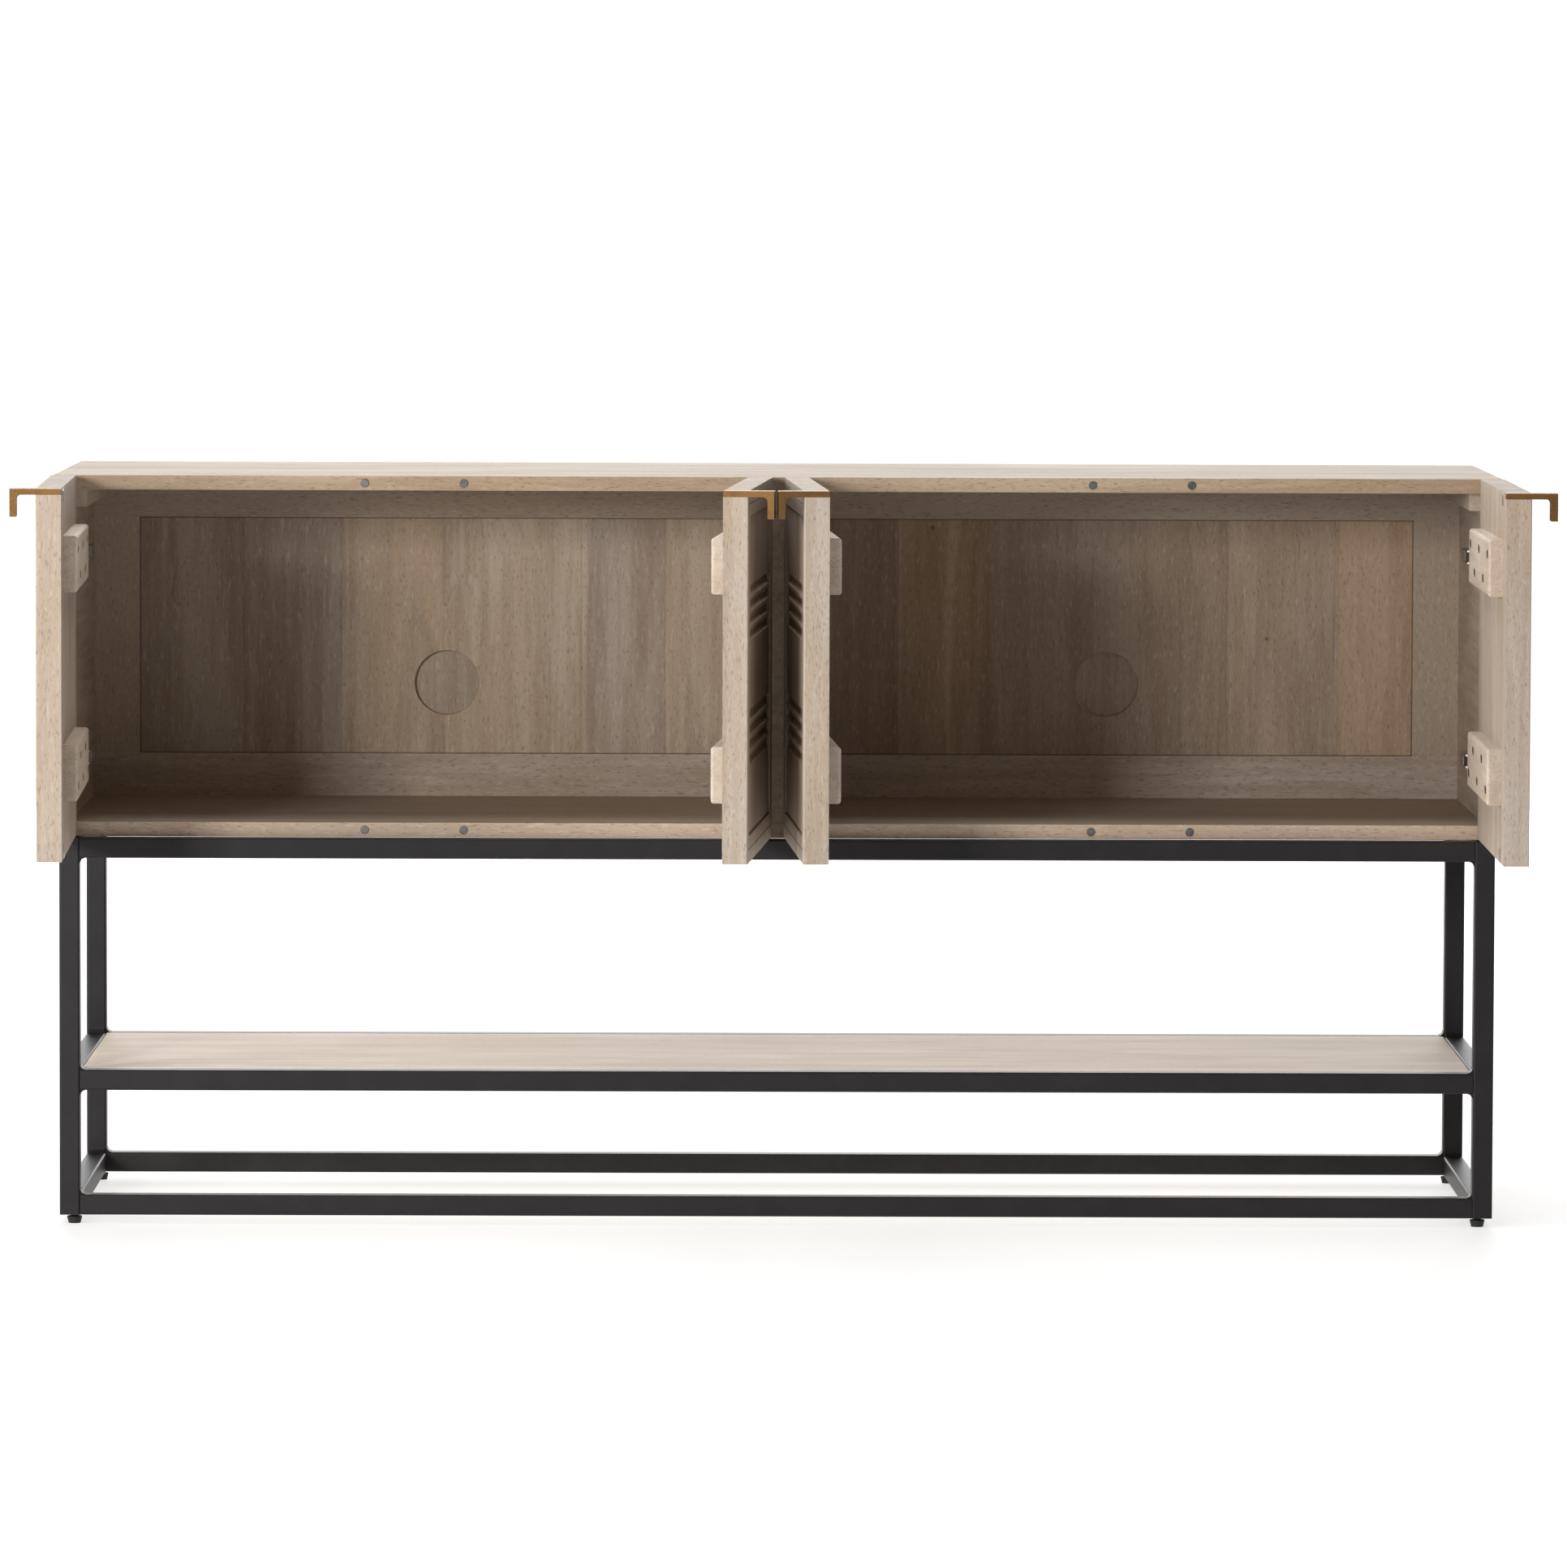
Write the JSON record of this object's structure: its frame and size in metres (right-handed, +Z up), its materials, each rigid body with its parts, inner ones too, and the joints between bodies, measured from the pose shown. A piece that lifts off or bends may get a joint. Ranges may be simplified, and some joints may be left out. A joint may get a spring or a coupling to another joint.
{
  "type": "sideboard",
  "caption": "Long wooden sideboard with carved doors on offset hinges, on a black square-tube iron stand with a low shelf; doors stand open at rest.",
  "frame": {"origin": "on the floor, at the middle of the plan outline with the doors standing open as modelled; the front of the cabinet's carcass is 13 mm in front of it", "axes": "+X to the right along the front, +Y from the front to the back, +Z up; the front faces -Y"},
  "size_m": [1.8248, 0.9297, 0.92],
  "materials": {
    "carcass_wood": "light washed, matt",
    "door_wood": "light washed, matt",
    "back_wood": "light washed, matt",
    "shelf_wood": "light washed, matt",
    "stand_iron": "black powder coat, slightly rough",
    "foot_plastic": "matt",
    "magnet": "nickel plated",
    "hinge_steel": "dark nickel plated",
    "strike_steel": "plain, dull",
    "pull_brass": "antique, brushed"
  },
  "bodies": {
    "cabinet": {"leg_front_left": "stand_iron", "leg_front_right": "stand_iron", "leg_back_left": "stand_iron", "leg_back_right": "stand_iron", "top_rail_front": "stand_iron", "top_rail_back": "stand_iron", "top_rails_side": "stand_iron", "shelf_rail_front": "stand_iron", "shelf_rail_back": "stand_iron", "shelf_rails_side": "stand_iron", "base_rail_front": "stand_iron", "base_rail_back": "stand_iron", "base_rails_side": "stand_iron", "levelling_feet": "foot_plastic", "shelf_board": "shelf_wood", "shelf_support_tabs": "stand_iron", "top_panel": "carcass_wood", "bottom_panel": "carcass_wood", "side_panel_left": "carcass_wood", "side_panel_right": "carcass_wood", "centre_divider": "carcass_wood", "back_rail_upper": "carcass_wood", "back_rail_lower": "carcass_wood", "back_stiles": "carcass_wood", "back_panel_left": "back_wood", "back_panel_right": "back_wood", "cable_covers": "back_wood", "top_cleats": "carcass_wood", "catch_magnets": "magnet", "hinge_plates": "hinge_steel", "hinge_arms": "hinge_steel"},
    "hinge_link_outer_left": {"hinge_links_outer_left": "hinge_steel"},
    "door_outer_left": {"door_outer_left_slab": "door_wood", "door_outer_left_carved_panel": "door_wood", "door_outer_left_battens": "door_wood", "door_outer_left_pull": "pull_brass", "door_outer_left_strike_plates": "strike_steel", "door_outer_left_hinge_cups": "hinge_steel"},
    "hinge_link_inner_left": {"hinge_links_inner_left": "hinge_steel"},
    "door_inner_left": {"door_inner_left_slab": "door_wood", "door_inner_left_carved_panel": "door_wood", "door_inner_left_battens": "door_wood", "door_inner_left_pull": "pull_brass", "door_inner_left_strike_plates": "strike_steel", "door_inner_left_hinge_cups": "hinge_steel"},
    "hinge_link_inner_right": {"hinge_links_inner_right": "hinge_steel"},
    "door_inner_right": {"door_inner_right_slab": "door_wood", "door_inner_right_carved_panel": "door_wood", "door_inner_right_battens": "door_wood", "door_inner_right_pull": "pull_brass", "door_inner_right_strike_plates": "strike_steel", "door_inner_right_hinge_cups": "hinge_steel"},
    "hinge_link_outer_right": {"hinge_links_outer_right": "hinge_steel"},
    "door_outer_right": {"door_outer_right_slab": "door_wood", "door_outer_right_carved_panel": "door_wood", "door_outer_right_battens": "door_wood", "door_outer_right_pull": "pull_brass", "door_outer_right_strike_plates": "strike_steel", "door_outer_right_hinge_cups": "hinge_steel"}
  },
  "joints": [
    {"name": "door_outer_left", "type": "hinge", "parent": "cabinet", "child": "door_outer_left", "pos_m": [-0.877, -0.0325, 0.6985], "axis": [0, 0, -1], "range_deg": [-88.2, 8]},
    {"name": "link_outer_left", "type": "hinge", "parent": "door_outer_left", "child": "hinge_link_outer_left", "pos_m": [-0.86597, -0.03315, 0.6985], "axis": [0, 0, -1], "range_deg": [-10.59, 113.73]},
    {"name": "door_inner_left", "type": "hinge", "parent": "cabinet", "child": "door_inner_left", "pos_m": [-0.01675, -0.03675, 0.6985], "axis": [0, 0, 1], "range_deg": [-86.1, 0]},
    {"name": "link_inner_left", "type": "hinge", "parent": "door_inner_left", "child": "hinge_link_inner_left", "pos_m": [-0.03195, -0.03546, 0.6985], "axis": [0, 0, 1], "range_deg": [-0.3, 123.6]},
    {"name": "door_inner_right", "type": "hinge", "parent": "cabinet", "child": "door_inner_right", "pos_m": [0.01675, -0.03675, 0.6985], "axis": [0, 0, -1], "range_deg": [-87.2, 0]},
    {"name": "link_inner_right", "type": "hinge", "parent": "door_inner_right", "child": "hinge_link_inner_right", "pos_m": [0.03197, -0.03576, 0.6985], "axis": [0, 0, -1], "range_deg": [-0.3, 125.17]},
    {"name": "door_outer_right", "type": "hinge", "parent": "cabinet", "child": "door_outer_right", "pos_m": [0.877, -0.0325, 0.6985], "axis": [0, 0, 1], "range_deg": [-89.5, 6.5]},
    {"name": "link_outer_right", "type": "hinge", "parent": "door_outer_right", "child": "hinge_link_outer_right", "pos_m": [0.86599, -0.0334, 0.6985], "axis": [0, 0, 1], "range_deg": [-8.66, 115.4]}
  ],
  "couplings": [
    {"joint": "link_outer_left", "follows": "door_outer_left", "ratio": -1.286},
    {"joint": "link_inner_left", "follows": "door_inner_left", "ratio": -1.432},
    {"joint": "link_inner_right", "follows": "door_inner_right", "ratio": -1.432},
    {"joint": "link_outer_right", "follows": "door_outer_right", "ratio": -1.286}
  ]
}
